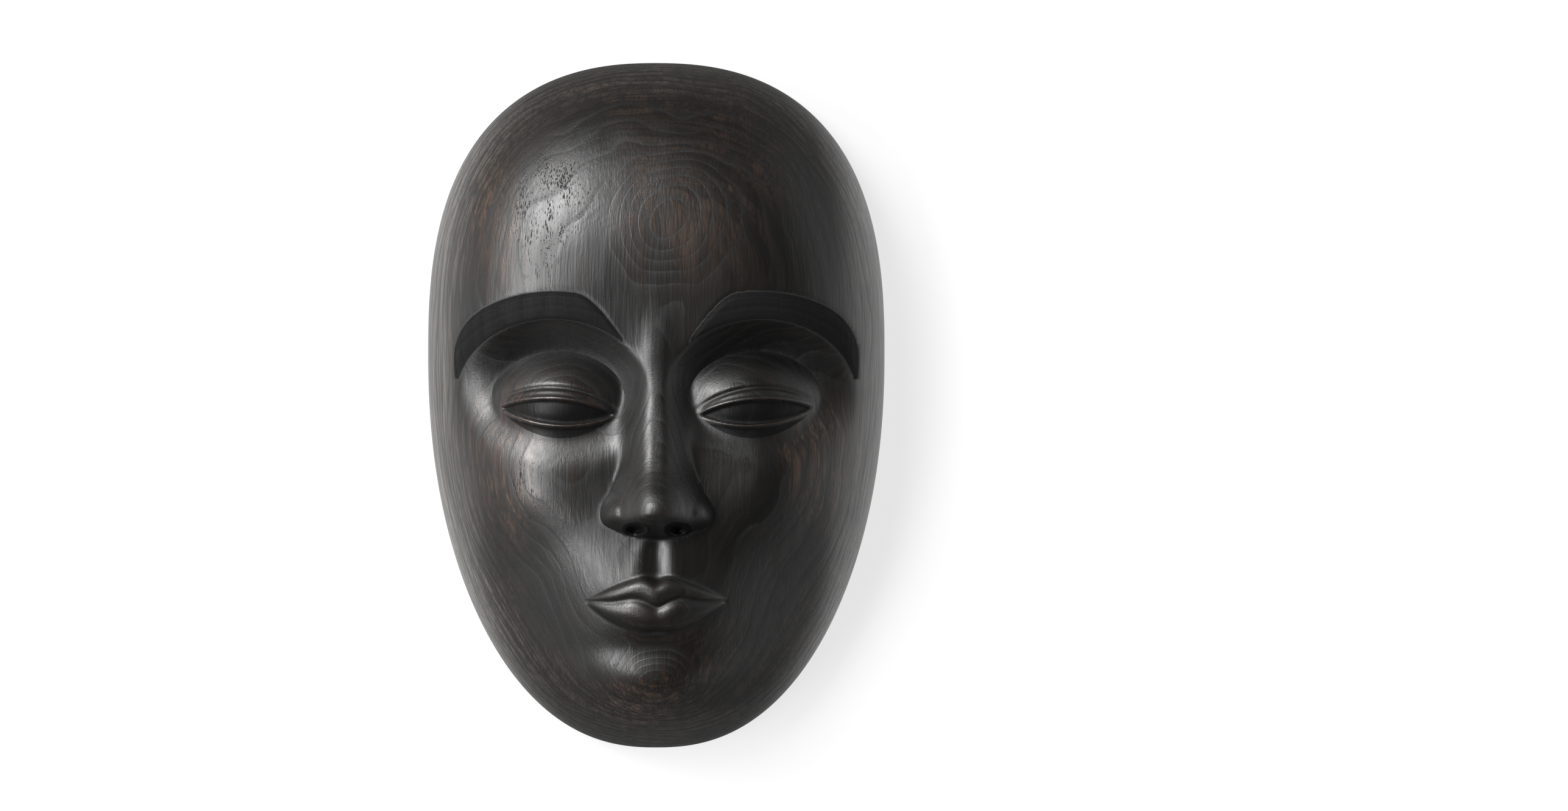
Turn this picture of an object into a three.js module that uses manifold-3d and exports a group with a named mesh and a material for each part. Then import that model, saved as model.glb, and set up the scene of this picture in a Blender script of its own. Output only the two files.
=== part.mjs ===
// A carved wooden face mask, lying face up on the flat rim of its hollow back.
// Millimetres, +Z up. The brow points to +Y, the chin to -Y, and the face is the same on both sides of X = 0.
// The origin is on the ground under the middle of the mask.
import * as THREE from "three";
import Module from "manifold-3d";

// Outline of the mask as seen from the front
const HALF_WIDTH = 100;
const HALF_HEIGHT = 150;
const WIDEST_Y = 24;
const OUTLINE_POWER = 2.35;

// Dome that carries the face, flat across the front and steep at the sides
const CROWN = 76;
const FRONT_POWER = 3.1;
const SIDE_POWER = 2.2;
const PLAIN_EDGE = 0.93;

// Hollow at the back, which leaves a flat rim to lie on
const SIDE_RIM = 13;
const HOLLOW_HEIGHT = 52;
const HOLLOW_NOSE = { x: 0, y: -40, reachX: 20, reachY: 42, height: 9 };
const CUT_BELOW = 6;

// Heights on the face: eyes half way up, mouth a third of the way from nose to chin
const EYE_Y = -1;
const NOSE_TIP_Y = -43;
const NOSE_BASE_Y = -56;
const MOUTH_Y = -82;
const CHIN_Y = -120;

// Broad forms of the face, each a soft swell that is repeated on the other side when x isn't 0
const SWELLS = {
  forehead: { x: 28, y: 68, reachX: 34, reachY: 28, height: 1.8 },
  cheekbone: { x: 52, y: -34, reachX: 17, reachY: 17, height: 5 },
  cheek: { x: 54, y: -80, reachX: 16, reachY: 24, height: -3.5 },
  muzzle: { x: 0, y: -80, reachX: 28, reachY: 23, height: 9.5 },
  chin: { x: 0, y: CHIN_Y, reachX: 24, reachY: 15, height: 13 },
  underLip: { x: 0, y: -103, reachX: 18, reachY: 5.5, height: -3 },
};

// Eye socket, deepest under the brow and shallower towards cheek and temple
const SOCKET = { x: 44, y: 3, halfWidth: 41, halfHeight: 33, depth: 16.5, power: 2.6, edge: 3 };
const SOCKET_SLOPE = { lowDepth: 1.3, cheekY: -34, browY: 16, innerX: 40, templeX: 85, templeLoss: 0.35 };

// Raised band of the brow along the socket's upper edge, in shares of the socket's size
const BROW = { width: 0.33, from: 0.12, to: 0.9, rise: 0.12, fallFrom: 0.6, fallTo: 1.1, height: 0.9 };

// Eyelids over the ball of the eye
const LID = { x: 42, up: 2, halfWidth: 30, halfHeight: 19.5, edge: -9.5, height: 11.5 };
const LID_BLEND = { upper: 2.4, lower: 7.2, upperY: 3, lowerY: -18 };

// Slit between the lids, nearly closed, with the ball as its floor
const SLIT = { halfWidth: 23, down: 1.5, rise: 4.4, risePower: 0.85, drop: 4.8, dropPower: 0.9, tilt: 1.4 };
const SLIT_FLOOR = { depth: 2.3, wall: 4.5, soft: 0.8 };

// Nose with a rounded tip, two wings and nostrils under them
const RIDGE = { topY: 14, height: 20, power: 1.15, start: 0.5, soft: 0.12, longest: 1.15 };
const RIDGE_SIDE = { flat: 5, tipFlat: 8, slope: 1.4, tipSlope: 1.9 };
const RIDGE_END = { fall: 6, fromY: 20, toY: 48 };
const TIP = { height: 23, across: 0.055, along: 0.05, up: 1, blend: 6 };
const WING = { x: 14.5, y: -46, halfWidth: 9.5, halfHeight: 11, height: 13, power: 1.25, blend: 1.2 };
const UNDERSIDE = { slope: 2.6, start: 0.3, lift: 3.5, reach: 18, blend: 5 };
const NOSTRIL = { x: 8.6, y: -51.2, halfWidth: 4.6, halfHeight: 2.6, depth: 16, blend: 1 };
const NOSE_FOOT = { blend: 1.3, rootBlend: 4.8, lowY: -34, rootY: -8 };

// Groove between the nose and the upper lip, wider towards the lip, with a low bank on each side
const GROOVE = { top: -54, bottom: -71, halfWidth: 3, flare: 1.6, depth: 2 };
const BANK = { x: 5, out: 2.4, height: 0.7 };

// Lips, lying in a shallow bed
const LIPS = { halfWidth: 30, upper: 12, lower: 14.5, soft: 0.4, blend: 0.8 };
const NOTCH = { depth: 2.6, width: 0.11, lift: 0.8, liftWidth: 0.15 };
const UPPER_LIP = { height: 6.6, sink: 2.2, crest: 0.38, half: 0.72, swell: 0.1, swellWidth: 0.14 };
const LOWER_LIP = { height: 8, sink: 2.8, crest: 0.44, half: 0.64, dent: 0.7, dentWidth: 0.12 };
const LIP_BED = { slope: 1.4, deepest: 7, edge: 0.5, corner: 0.985, cornerSlope: 4 };
const MIDDLE = { down: 0.2, wave: 1.7, waveAt: 0.34, waveWidth: 0.2, dip: 1.3, dipWidth: 0.13 };

// Number of facets across and along the face and the hollow, and where the lines crowd together
const FACE_GRID = { across: 52, along: 76 };
const HOLLOW_GRID = { across: 24, along: 30 };
const CROWD_ACROSS = [
  { at: -0.36, width: 0.1, strength: 1 },
  { at: 0, width: 0.16, strength: 2.2 },
  { at: 0.36, width: 0.1, strength: 1 },
];
const CROWD_ALONG = [
  { at: -0.525, width: 0.06, strength: 5 },
  { at: -0.37, width: 0.045, strength: 3 },
  { at: -0.13, width: 0.07, strength: 3 },
  { at: 0.05, width: 0.04, strength: 2.5 },
];

// Soft forms of the greater and of the lesser of two heights, rounded over about r
const fuse = (a, b, r) => 0.5 * (a + b + Math.hypot(a - b, r));
const cut = (a, b, r) => 0.5 * (a + b - Math.hypot(a - b, r));
const TINY = 1e-9;
const limit = (low, high, v) => Math.min(high, Math.max(low, v));
const bell = (v) => Math.exp(-v * v);

// Goes smoothly from 0 at one value to 1 at the other
function ease(from, to, v) {
  const t = limit(0, 1, (v - from) / (to - from));
  return t * t * (3 - 2 * t);
}

function swell(x, y, form) {
  const up = Math.exp(-0.5 * ((y - form.y) / form.reachY) ** 2);
  const rise = (side) => up * Math.exp(-0.5 * ((x - side) / form.reachX) ** 2);
  const both = form.x ? rise(form.x) + rise(-form.x) : rise(0);
  return form.height * both;
}

// The outline is an oval whose widest place is above the middle
const ABOVE = HALF_HEIGHT - WIDEST_Y;
const BELOW = HALF_HEIGHT + WIDEST_Y;
const SKEW = (ABOVE - BELOW) / (ABOVE + BELOW);
const REACH = ABOVE * (1 - SKEW);

function ovalSize(across, along) {
  return (Math.abs(across) ** OUTLINE_POWER + Math.abs(along) ** OUTLINE_POWER) ** (1 / OUTLINE_POWER);
}

function outlineShare(x, y) {
  return ovalSize(x / HALF_WIDTH, (y - WIDEST_Y) / (REACH + SKEW * (y - WIDEST_Y)));
}

function domeHeight(share) {
  return CROWN * (1 - limit(0, 1, share) ** FRONT_POWER) ** (1 / SIDE_POWER);
}

function broadForms(x, y) {
  const forms = Object.values(SWELLS).map((form) => swell(x, y, form));
  return forms.reduce((sum, height) => sum + height, domeHeight(outlineShare(x, y)));
}

function withSocket(x, y, z) {
  const across = (Math.abs(x) - SOCKET.x) / SOCKET.halfWidth;
  const along = (y - SOCKET.y) / SOCKET.halfHeight;
  const out = Math.hypot(across, along);
  const upward = along / Math.max(out, 0.01);
  const band = BROW.width * ease(BROW.from, BROW.to, upward);
  const past = out - 1;
  const inner = ease(0, BROW.rise, past);
  const outer = 1 - ease(BROW.fallFrom, BROW.fallTo, past / Math.max(band, 0.02));
  const brow = BROW.height * inner * outer * ease(0.02, 0.08, band);
  const upper = ease(SOCKET_SLOPE.cheekY, SOCKET_SLOPE.browY, y);
  const temple = SOCKET_SLOPE.templeLoss * ease(SOCKET_SLOPE.innerX, SOCKET_SLOPE.templeX, Math.abs(x));
  const deep = SOCKET.depth * upper * (1 - temple) + SOCKET_SLOPE.lowDepth;
  return cut(z + brow, z - deep * (1 - out ** SOCKET.power), SOCKET.edge);
}

function withEye(x, y, z, base) {
  const u = (Math.abs(x) - LID.x) / SLIT.halfWidth;
  const bulge = ((Math.abs(x) - LID.x) / LID.halfWidth) ** 2 + ((y - EYE_Y - LID.up) / LID.halfHeight) ** 2;
  const lid = base + LID.edge + LID.height * (1 - Math.min(bulge, 3));
  const lower = ease(LID_BLEND.upperY, LID_BLEND.lowerY, y);
  const height = fuse(z, lid, LID_BLEND.upper + (LID_BLEND.lower - LID_BLEND.upper) * lower);

  const open = Math.max(1 - u * u, 0);
  const middle = EYE_Y - SLIT.down + SLIT.tilt * u;
  const over = y - middle - SLIT.rise * open ** SLIT.risePower;
  const under = middle - SLIT.drop * open ** SLIT.dropPower - y;
  const past = SLIT.halfWidth * (Math.abs(u) - 1);
  const outside = fuse(fuse(over, under, SLIT_FLOOR.soft), past, SLIT_FLOOR.soft);
  const ball = base + LID.edge - SLIT_FLOOR.depth + LID.height * (1 - Math.min(bulge, 1));
  return cut(height, ball + SLIT_FLOOR.wall * fuse(outside, 0, SLIT_FLOOR.soft), SLIT_FLOOR.soft);
}

function withNose(x, y, z, base) {
  const side = Math.abs(x);
  const way = fuse((RIDGE.topY - y) / (RIDGE.topY - NOSE_TIP_Y), 0, RIDGE.soft);
  const down = limit(0, RIDGE.longest, way);
  const flat = RIDGE_SIDE.flat + (RIDGE_SIDE.tipFlat - RIDGE_SIDE.flat) * ease(-0.2, 1, down);
  const slope = RIDGE_SIDE.slope + (RIDGE_SIDE.tipSlope - RIDGE_SIDE.slope) * ease(0.3, 1, down);
  const fall = slope * (Math.cbrt(side ** 3 + flat ** 3) - flat);
  const end = RIDGE_END.fall * ease(RIDGE_END.fromY, RIDGE_END.toY, y);
  const ridge = base + RIDGE.start + RIDGE.height * down ** RIDGE.power - fall - end;

  const tip = base + TIP.height - TIP.across * x * x - TIP.along * (y - NOSE_TIP_Y + TIP.up) ** 2;
  const away = ((side - WING.x) / WING.halfWidth) ** 2 + ((y - WING.y) / WING.halfHeight) ** 2;
  const wing = base + WING.height * (1 - Math.min(away, 3) ** WING.power);
  const solid = fuse(fuse(ridge, tip, TIP.blend), wing, WING.blend);

  const edge = NOSE_BASE_Y + UNDERSIDE.lift * (side / UNDERSIDE.reach) ** 2;
  const underside = base + UNDERSIDE.start + UNDERSIDE.slope * (y - edge);
  const inHole = ((side - NOSTRIL.x) / NOSTRIL.halfWidth) ** 2 + ((y - NOSTRIL.y) / NOSTRIL.halfHeight) ** 2;
  const nostril = underside - NOSTRIL.depth * (1 - Math.min(inHole, 3));
  const nose = cut(cut(solid, underside, UNDERSIDE.blend), nostril, NOSTRIL.blend);
  const root = (NOSE_FOOT.rootBlend - NOSE_FOOT.blend) * ease(NOSE_FOOT.lowY, NOSE_FOOT.rootY, y);
  return fuse(z, nose, NOSE_FOOT.blend + root);
}

function withGroove(x, y, z) {
  const down = (GROOVE.top - y) / (GROOVE.top - GROOVE.bottom);
  const share = limit(0, 1, down);
  const run = ease(-0.1, 0.45, down) * ease(1.25, 0.95, down);
  const width = GROOVE.halfWidth + GROOVE.flare * share;
  const bank = BANK.height * bell((Math.abs(x) - BANK.x - BANK.out * share) / width);
  return z + run * (bank - GROOVE.depth * bell(x / width));
}

function withMouth(x, y, z) {
  const u = Math.abs(x) / LIPS.halfWidth;
  const inside = Math.max(1 - u * u, 0);
  const beyond = LIPS.halfWidth * Math.max(u - LIP_BED.corner, 0);
  const wave = MIDDLE.wave * bell((u - MIDDLE.waveAt) / MIDDLE.waveWidth);
  const line = MOUTH_Y - MIDDLE.down + wave - MIDDLE.dip * bell(u / MIDDLE.dipWidth);
  const notch = NOTCH.depth * bell(u / NOTCH.width);
  const top = MOUTH_Y + LIPS.upper * Math.max(1 - u ** 1.5, 0) ** 0.9 - notch;
  const low = MOUTH_Y - LIPS.lower * inside ** 0.8 + NOTCH.lift * bell(u / NOTCH.liftWidth);
  const edge = Math.min(top - y, y - low) - beyond;
  const bed = z - LIP_BED.slope * limit(-30, LIP_BED.deepest, edge);

  const full = inside ** 0.4;
  const upShare = (y - line) / Math.max(top - line, 0.5);
  const downShare = (line - y) / Math.max(line - low, 0.5);
  const arch = (share, lip) => 1 - Math.min(Math.abs((share - lip.crest) / lip.half) ** 2.2, 6);
  const middle = 1 + UPPER_LIP.swell * bell(u / UPPER_LIP.swellWidth);
  const upper = z - UPPER_LIP.sink + UPPER_LIP.height * full * middle * arch(upShare, UPPER_LIP);
  const dent = LOWER_LIP.dent * full * bell(u / LOWER_LIP.dentWidth);
  const lower = z - LOWER_LIP.sink + LOWER_LIP.height * full * arch(downShare, LOWER_LIP) - dent;
  const lips = fuse(upper, lower, LIPS.soft) - LIP_BED.cornerSlope * (beyond + Math.max(-edge - 1, 0));
  return fuse(cut(z, bed, LIP_BED.edge), lips, LIPS.blend);
}

// Height of the front at a place, with the plain dome left along the edge
function faceHeight(x, y) {
  const share = outlineShare(x, y);
  const base = broadForms(x, y);
  const eyes = withEye(x, y, withSocket(x, y, base), base);
  const carved = withMouth(x, y, withGroove(x, y, withNose(x, y, eyes, base)));
  return THREE.MathUtils.lerp(domeHeight(share), carved, ease(1, PLAIN_EDGE, share));
}

// Values from -1 to 1 that stand closer together round each peak
function spread(count, peaks) {
  const STEPS = 2000;
  const closer = (v, peak) => peak.strength * Math.exp(-0.5 * ((v - peak.at) / peak.width) ** 2);
  const density = (v) => peaks.reduce((sum, peak) => sum + closer(v, peak), 1);
  const sums = [0];
  for (let i = 1; i <= STEPS; i++) sums.push(sums[i - 1] + density(-1 + (2 * i - 1) / STEPS));
  const values = [];
  let at = 0;
  for (let i = 0; i <= count; i++) {
    const wanted = (sums[STEPS] * i) / count;
    while (at < STEPS - 1 && sums[at + 1] < wanted) at++;
    values.push(-1 + (2 * (at + (wanted - sums[at]) / (sums[at + 1] - sums[at]))) / STEPS);
  }
  return values;
}

// Share of the outline at each share of the way from crown to rim, measured along the surface
function wayToShare() {
  const STEPS = 1000;
  const MEAN_RADIUS = 122;
  const points = [];
  for (let i = 0; i <= STEPS; i++) {
    const angle = (Math.PI / 2) * (i / STEPS);
    const share = Math.sin(angle) ** (2 / FRONT_POWER);
    points.push(new THREE.Vector2(share * MEAN_RADIUS, domeHeight(share)));
  }
  const way = [0];
  for (let i = 1; i <= STEPS; i++) way.push(way[i - 1] + points[i].distanceTo(points[i - 1]));
  return (share) => {
    const wanted = share * way[STEPS];
    const next = limit(1, STEPS, way.findIndex((length) => length >= wanted));
    const part = (wanted - way[next - 1]) / (way[next] - way[next - 1]);
    return (points[next - 1].x + part * (points[next].x - points[next - 1].x)) / MEAN_RADIUS;
  };
}

const shareAt = wayToShare();

// Place on the outline's field for a square's u and v from -1 to 1: the square's border falls on the outline
function fieldPoint(u, v) {
  const x = u * Math.sqrt(1 - (v * v) / 2);
  const y = v * Math.sqrt(1 - (u * u) / 2);
  const way = Math.hypot(x, y);
  if (way < TINY) return { x: 0, y: WIDEST_Y, share: 0 };
  const onRim = Math.max(Math.abs(u), Math.abs(v)) > 1 - TINY;
  const share = onRim ? 1 : shareAt(way);
  const size = ovalSize(x, y);
  const level = (y * share) / size;
  return { x: (HALF_WIDTH * x * share) / size, y: WIDEST_Y + (REACH * level) / (1 - SKEW * level), share };
}

// Closed body under a curved sheet: the sheet, a straight skirt down from its border, and a flat base
function bodyUnder(grid, pointAt, baseZ) {
  const us = spread(grid.across, CROWD_ACROSS);
  const vs = spread(grid.along, CROWD_ALONG);
  const points = vs.flatMap((v) => us.map((u) => pointAt(fieldPoint(u, v))));
  const row = grid.across + 1;
  const faces = [];
  for (let j = 0; j < grid.along; j++) {
    for (let i = 0; i < grid.across; i++) {
      const [a, b, c, d] = [j * row + i, j * row + i + 1, (j + 1) * row + i + 1, (j + 1) * row + i];
      const downhill = points[a].distanceTo(points[c]) < points[b].distanceTo(points[d]);
      faces.push(...(downhill ? [a, b, c, a, c, d] : [a, b, d, b, c, d]));
    }
  }
  const border = [];
  for (let i = 0; i < grid.across; i++) border.push(i);
  for (let j = 0; j < grid.along; j++) border.push(j * row + grid.across);
  for (let i = grid.across; i > 0; i--) border.push(grid.along * row + i);
  for (let j = grid.along; j > 0; j--) border.push(j * row);

  const middle = points.push(new THREE.Vector3(0, 0, baseZ)) - 1;
  const ring = border.map((index) => {
    const onBase = Math.abs(points[index].z - baseZ) < TINY;
    return onBase ? index : points.push(points[index].clone().setZ(baseZ)) - 1;
  });
  for (let i = 0; i < border.length; i++) {
    const next = (i + 1) % border.length;
    const [top, topNext, foot, footNext] = [border[i], border[next], ring[i], ring[next]];
    if (foot !== top) faces.push(top, foot, footNext, top, footNext, topNext);
    faces.push(footNext, foot, middle);
  }
  return { points, faces };
}

function frontPoint({ x, y, share }) {
  return new THREE.Vector3(x, y, share === 1 ? 0 : faceHeight(x, y));
}

function hollowPoint({ x, y, share }) {
  const scale = 1 - SIDE_RIM / HALF_WIDTH;
  const dome = (HOLLOW_HEIGHT / CROWN) * domeHeight(share);
  const noseRoom = ease(1, 0.8, share) * swell(x * scale, y * scale, HOLLOW_NOSE);
  return new THREE.Vector3(x * scale, y * scale, dome + noseRoom);
}

const wasm = await Module();
wasm.setup();

function solidFrom({ points, faces }) {
  const vertProperties = new Float32Array(points.flatMap((p) => p.toArray()));
  return new wasm.Manifold(new wasm.Mesh({ numProp: 3, vertProperties, triVerts: new Uint32Array(faces) }));
}

function geometryFrom(solid) {
  const { vertProperties, triVerts } = solid.getMesh();
  const geometry = new THREE.BufferGeometry();
  geometry.setAttribute("position", new THREE.BufferAttribute(vertProperties, 3));
  geometry.setIndex(new THREE.BufferAttribute(triVerts, 1));
  geometry.computeVertexNormals();
  return geometry;
}

function mask() {
  const front = solidFrom(bodyUnder(FACE_GRID, frontPoint, 0));
  const hollow = solidFrom(bodyUnder(HOLLOW_GRID, hollowPoint, -CUT_BELOW));
  const wood = new THREE.MeshStandardMaterial({ color: 0x2b211b, roughness: 0.42, metalness: 0 });
  const mesh = new THREE.Mesh(geometryFrom(front.subtract(hollow)), wood);
  mesh.name = "mask";
  return mesh;
}

const model = new THREE.Group();
model.add(mask());

export default model;
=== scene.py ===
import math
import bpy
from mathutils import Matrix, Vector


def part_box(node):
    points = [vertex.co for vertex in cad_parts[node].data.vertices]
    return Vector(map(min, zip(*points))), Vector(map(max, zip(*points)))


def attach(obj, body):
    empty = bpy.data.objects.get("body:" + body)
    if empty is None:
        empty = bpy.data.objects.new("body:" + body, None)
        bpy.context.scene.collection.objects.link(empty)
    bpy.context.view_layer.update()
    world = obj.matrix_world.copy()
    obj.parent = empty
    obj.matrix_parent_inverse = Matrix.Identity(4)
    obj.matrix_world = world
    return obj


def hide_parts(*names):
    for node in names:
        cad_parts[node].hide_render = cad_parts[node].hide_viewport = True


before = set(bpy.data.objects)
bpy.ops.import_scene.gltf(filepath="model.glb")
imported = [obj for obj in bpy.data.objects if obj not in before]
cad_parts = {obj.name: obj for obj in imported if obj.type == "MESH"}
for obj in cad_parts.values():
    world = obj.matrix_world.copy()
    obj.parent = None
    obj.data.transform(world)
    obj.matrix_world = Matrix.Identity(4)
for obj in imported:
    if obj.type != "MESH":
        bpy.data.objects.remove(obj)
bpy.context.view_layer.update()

# A carved mask of dark hardwood, lying face up: polished outside, bare and tool-cut in its hollow.
from types import SimpleNamespace as Sizes

import bpy
import numpy as np
from mathutils import Vector

mask_low, mask_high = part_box("mask")
SEED = 7

# Carving is worked out in millimetres, and the meshes are in metres
MM = 0.001
HALF_WIDTH = mask_high.x / MM
HALF_HEIGHT = mask_high.y / MM
WIDEST_Y = 24.0
OUTLINE_POWER = 2.35
CROWN = 76.0
FRONT_POWER = 3.1
SIDE_POWER = 2.2
PLAIN_EDGE = 0.93

# Hollow at the back, cut with a gouge
SIDE_RIM = 13.0
HOLLOW_HEIGHT = 52.0
HOLLOW_NOSE = Sizes(x=0.0, y=-40.0, reach_x=20.0, reach_y=42.0, height=9.0)
HOLLOW_NOSE_FULL = 0.8
GOUGE = Sizes(step_x=8.5, step_y=15.0, across=95.0, along=145.0, shake=0.7, half_width=7.5,
              half_length=14.0, depth=1.5, shallow=0.6, rim_share=0.96)
RIM_ROUNDING = 1.0

# Heights on the face: eyes half way up, mouth about a third of the way from nose to chin
EYE_Y = -1.0
NOSE_TIP_Y = -43.0
NOSE_BASE_Y = -56.0
MOUTH_Y = -82.0
CHIN_Y = -120.0

# Broad forms of the face, each repeated on the other side when x isn't 0
SWELLS = [
    Sizes(x=28.0, y=68.0, reach_x=34.0, reach_y=28.0, height=1.8),
    Sizes(x=52.0, y=-34.0, reach_x=17.0, reach_y=17.0, height=5.0),
    Sizes(x=54.0, y=-80.0, reach_x=16.0, reach_y=24.0, height=-3.5),
    Sizes(x=0.0, y=-80.0, reach_x=28.0, reach_y=23.0, height=9.5),
    Sizes(x=0.0, y=CHIN_Y, reach_x=24.0, reach_y=15.0, height=13.0),
    Sizes(x=0.0, y=-103.0, reach_x=18.0, reach_y=5.5, height=-3.0),
]

# Eye socket, deepest under the brow and shallower towards cheek and temple
SOCKET = Sizes(x=44.0, y=3.0, half_width=41.0, half_height=33.0, depth=16.5, power=2.6, edge=1.4)
SOCKET_SLOPE = Sizes(low_depth=1.3, cheek_y=-34.0, brow_y=16.0,
                     inner_x=40.0, temple_x=85.0, temple_loss=0.35)

# Raised band of the brow: width and rise in shares of the socket's size, the rest in mm from its outer edge
BROW = Sizes(width=0.33, start=0.12, full=0.9, rise=0.03, height=0.7, fall_from=-0.9, fall_to=0.3,
             thin=0.02, thick=0.08)
BROW_LINE = Sizes(depth=0.35, out=0.9, width=1.2, thin=0.04, thick=0.2)
BROW_INNER_END = Sizes(x=10.0, full_x=34.0)

# Eyelids over the ball of the eye, with a fine raised edge and a fold above
LID = Sizes(x=42.0, up=2.0, half_width=30.0, half_height=19.5, edge=-9.5, height=11.5)
LID_BLEND = Sizes(upper=0.15, lower=7.2, upper_y=3.0, lower_y=-18.0)
LID_LINE = Sizes(upper=1.2, lower=1.0, away=1.1, width=1.1, full=0.85, gone=1.15)
FOLD = Sizes(rise=10.0, power=0.75, reach=1.2, full=0.7, depth=1.4, width=0.9)

# Slit between the lids, with the ball as its floor
SLIT = Sizes(half_width=23.0, down=1.5, rise=4.4, rise_power=0.85, drop=4.8, drop_power=0.9, tilt=1.4)
SLIT_FLOOR = Sizes(depth=1.4, crown=0.03, crown_reach=10.0, wall=4.5, corner=0.3, foot=0.4, edge=0.5)

# Nose with a rounded tip, two wings and nostrils under them
RIDGE = Sizes(top_y=14.0, height=20.0, power=1.15, start=0.5, soft=0.12, longest=1.15)
RIDGE_SIDE = Sizes(flat=5.0, tip_flat=8.0, flat_from=-0.2, slope=1.4, tip_slope=1.9, slope_from=0.3)
RIDGE_END = Sizes(fall=6.0, from_y=20.0, to_y=48.0)
TIP = Sizes(height=23.0, across=0.055, along=0.05, up=1.0, blend=6.0)
WING = Sizes(x=14.5, y=-46.0, half_width=9.5, half_height=11.0, height=13.0, power=1.25, blend=1.2)
UNDERSIDE = Sizes(slope=2.6, start=0.3, lift=3.5, reach=18.0, blend=5.0)
NOSTRIL = Sizes(x=8.6, y=-51.6, half_width=4.6, half_height=2.5, depth=8.0, blend=1.0)
NOSE_FOOT = Sizes(blend=0.3, root_blend=4.8, low_y=-34.0, root_y=-8.0, fade_y=30.0, gone_y=58.0)

# Groove between the nose and the upper lip, wider towards the lip, with a low bank on each side
GROOVE = Sizes(top=-54.0, bottom=-71.0, start=-0.1, full=0.45, fade=0.95, gone=1.25,
               half_width=3.0, flare=1.9, depth=1.7)
BANK = Sizes(x=5.2, out=2.6, height=0.55)

# Lips, lying in a shallow bed
LIPS = Sizes(half_width=30.0, upper=12.0, lower=14.5, soft=0.4, blend=0.8)
LIP_CURVE = Sizes(upper_power=1.5, upper_round=0.9, lower_round=0.8, arch=2.2, fullness=0.4)
NOTCH = Sizes(depth=2.6, width=0.11, lift=0.8, lift_width=0.15)
UPPER_LIP = Sizes(height=6.6, sink=2.2, crest=0.38, half=0.72, swell=0.1, swell_width=0.14)
LOWER_LIP = Sizes(height=8.0, sink=2.8, crest=0.44, half=0.64, dent=0.7, dent_width=0.12)
LIP_BED = Sizes(slope=1.4, deepest=7.0, edge=0.5, corner=0.985, corner_slope=4.0)
MIDDLE = Sizes(down=0.2, wave=1.7, wave_at=0.34, wave_width=0.2, dip=1.3, dip_width=0.13)

# Where the foot of the eyelid and of the nose is a sharp knife cut
LID_CUT = Sizes(low_y=4.0, high_y=60.0)
NOSE_CUT = Sizes(low_y=-53.0, high_y=-31.0)

# Black stain, in mm: how far it keeps inside or runs past the edges of brow and slit, and where it fades;
# the nostril's is a share of its half width, and inside the nostrils the black is partly painted shade in
# the holes
STAIN = Sizes(inner_gap=0.4, over_edge=0.9, narrowest=0.8, slit_gap=0.1, nostril=1.3,
              brow_fade=-0.5, opening_fade=-0.4, full=0.05)

# Stained crescent below each slit, in mm; it ends where it gets narrower than the last value
CRESCENT = Sizes(gap=2.3, width=4.6, narrowest=0.5)

# Material slots of the mask, and the shine of waxed and of stained wood
POLISHED, BARE, STAINED = 0, 1, 2
WAX_IOR = 1.64
STAIN_IOR = 1.28

# Colours of the finished and of the bare wood; some stand for painted reflection, highlight and shade, as
# marked
COLOURS = Sizes(
    dark=(0.0055, 0.0046, 0.0041, 1),
    warm=(0.044, 0.026, 0.017, 1),
    # Paler colour of the sides: a painted reflection of the pale room
    pale=(0.075, 0.066, 0.058, 1),
    black=(0.002, 0.002, 0.002, 1),
    layer=(0.004, 0.0035, 0.003, 1),
    # Lighter colour of ridges: worn wood, and partly a painted highlight of edges catching light
    rubbed=(0.045, 0.032, 0.025, 1),
    stain=(0.006, 0.006, 0.0063, 1),
)
BARE_COLOURS = Sizes(
    plain=(0.070, 0.040, 0.025, 1),
    warm=(0.13, 0.078, 0.046, 1),
    layer=(0.02, 0.012, 0.008, 1),
    # Darker colour of the creases in the hollow: painted shade
    crease=(0.03, 0.018, 0.012, 1),
    pore=(0.01, 0.006, 0.004, 1),
)

# How strongly each kind of place takes its own colour, and how dark and pale the streaks are; the tint of
# the sides is a painted reflection, those of ridges, creases and deep places are partly painted highlight
# and shade
TINT = Sizes(flank=0.65, side_line=0.9, layers=0.9, pores=0.9, checks=0.9, crest=0.35, crease=0.8,
             deep=0.75, stain=0.85, arc=0.6)
BARE_TINT = Sizes(layers=0.6, crease=0.5, pores=0.8)
STREAKS = Sizes(low=0.55, high=1.4)
BARE_STREAKS = Sizes(low=0.7, high=1.25)

# Roughness of the polish between and along the fibres, and what each kind of place adds to it
ROUGH = Sizes(dull=0.40, shiny=0.32, pores=0.42, checks=0.4, worked=0.04, layers=0.12,
              brow=0.38, crease=0.12, crest=0.04)

# Height of the relief that each part of the grain makes, in mm
RELIEF = Sizes(fibre=0.075, worked_share=0.35, strand=0.06, fine=0.09, tooling=0.075,
               pores=0.015, layers=0.032, arc=0.015)

# Grain, as repeats to a millimetre across, along and through the mask
GRAIN = Sizes(fibre=(1.15, 0.05, 1.15), strand=(0.30, 0.012, 0.30), fine=(0.015, 0.01, 0.75),
              sway=(0.05, 0.03, 0.05), sway_reach=(4.0, 0.0, 3.0))
PORES = [Sizes(grain=(1.15, 0.075, 1.15), size=0.3), Sizes(grain=(1.7, 0.22, 1.7), size=0.28)]
PITS = Sizes(grain=(1.3, 1.0, 1.3), size=0.42)
PORE_EDGE = 0.05

# Growth layers: how many to a millimetre of depth, their sway in mm, and the shares of a layer where its
# broad and its thin line begin, and from where to where both are darkest
LAYERS = Sizes(per_mm=0.23, slow_sway=26.0, ragged_sway=0.5,
               broad_from=0.2, thin_from=0.74, dark_from=0.9, dark_to=0.92)

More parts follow.
